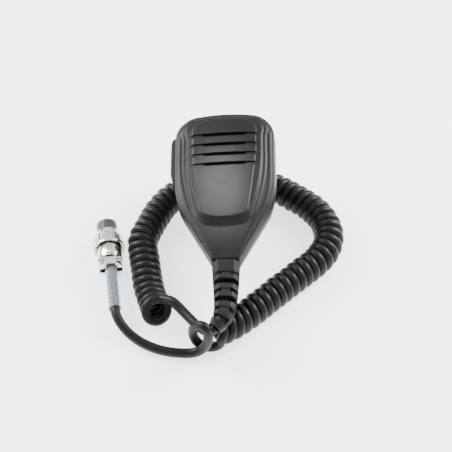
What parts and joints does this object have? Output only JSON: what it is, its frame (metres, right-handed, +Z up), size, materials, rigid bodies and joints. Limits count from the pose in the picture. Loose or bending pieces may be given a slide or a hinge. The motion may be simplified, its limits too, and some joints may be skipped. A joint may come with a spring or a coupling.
{
  "type": "hand microphone",
  "caption": "Palm-size push-to-talk microphone with slotted front, side lever, moulded strain relief, curly cord and round screw-on plug.",
  "frame": {"origin": "centre of the box round the microphone and its strain relief, without the cord and plug, as it lies propped on its cord", "axes": "+Y from the strain relief towards the top of the case, +X to the right seen from the front, +Z up from the table"},
  "size_m": [0.1582, 0.1596, 0.0588],
  "materials": {
    "case": "fine textured moulded plastic",
    "lever": "satin moulded plastic",
    "screw": "zinc plated steel",
    "plated": "nickel plated",
    "cloth": "thin woven cloth",
    "element": "drawn aluminium can",
    "rubber": "soft rubber",
    "board": "glass-epoxy board with solder resist",
    "chip": "moulded epoxy",
    "can": "drawn can with printed sleeve",
    "header": "white nylon",
    "wires": "insulated wire",
    "nylon": "natural nylon",
    "boot": "moulded flexible vinyl",
    "cord": "flexible cord jacket",
    "sleeve": "milky translucent vinyl",
    "nickel": "bright nickel plate",
    "phenolic": "moulded phenolic",
    "pins": "gold flashed brass"
  },
  "bodies": {
    "microphone": {"front_case": "case", "rear_case": "case", "case_screws": "screw", "dust_cloth": "cloth", "mic_element": "element", "element_holder": "rubber", "circuit_board": "board", "board_screws": "screw", "amplifier_chip": "chip", "capacitors": "can", "resistors": "chip", "wire_header": "header", "header_wires": "wires", "cord_clip": "nylon", "ptt_pin": "screw", "switch_body": "chip", "hanger_button": "plated", "hanger_screw": "screw", "strain_relief": "boot", "inner_cord": "cord", "lead_cord": "cord", "coiled_cord": "cord", "plug_cord": "cord", "cord_tail": "cord", "clear_sleeve": "sleeve", "plug_shell": "nickel", "cable_clamp": "nickel", "clamp_screws": "nickel", "plug_insert": "phenolic", "contacts": "pins", "insert_screw": "nickel", "retaining_ring": "screw"},
    "talk_lever": {"ptt_lever": "lever"},
    "plunger": {"switch_plunger": "nylon"},
    "coupling_ring": {"coupling_nut": "nickel"}
  },
  "joints": [
    {"name": "talk_lever_press", "type": "hinge", "parent": "microphone", "child": "talk_lever", "pos_m": [-0.02511, 0.06072, 0.00147], "axis": [-0.0872, -0.173, 0.9811], "range_deg": [0, 3], "stiffness_Nm_per_rad": 0.4, "springref_deg": -3.44},
    {"name": "plunger_travel", "type": "slide", "parent": "microphone", "child": "plunger", "axis": [0.9962, -0.0151, 0.0858], "range_m": [0, 0.0011]},
    {"name": "coupling_ring_turn", "type": "hinge", "parent": "microphone", "child": "coupling_ring", "pos_m": [-0.07216, 0.00377, -0.02796], "axis": [-0.1236, 0.9923, 0], "continuous": true}
  ],
  "couplings": [
    {"joint": "plunger_travel", "follows": "talk_lever_press", "m_per_rad": 0.02}
  ]
}
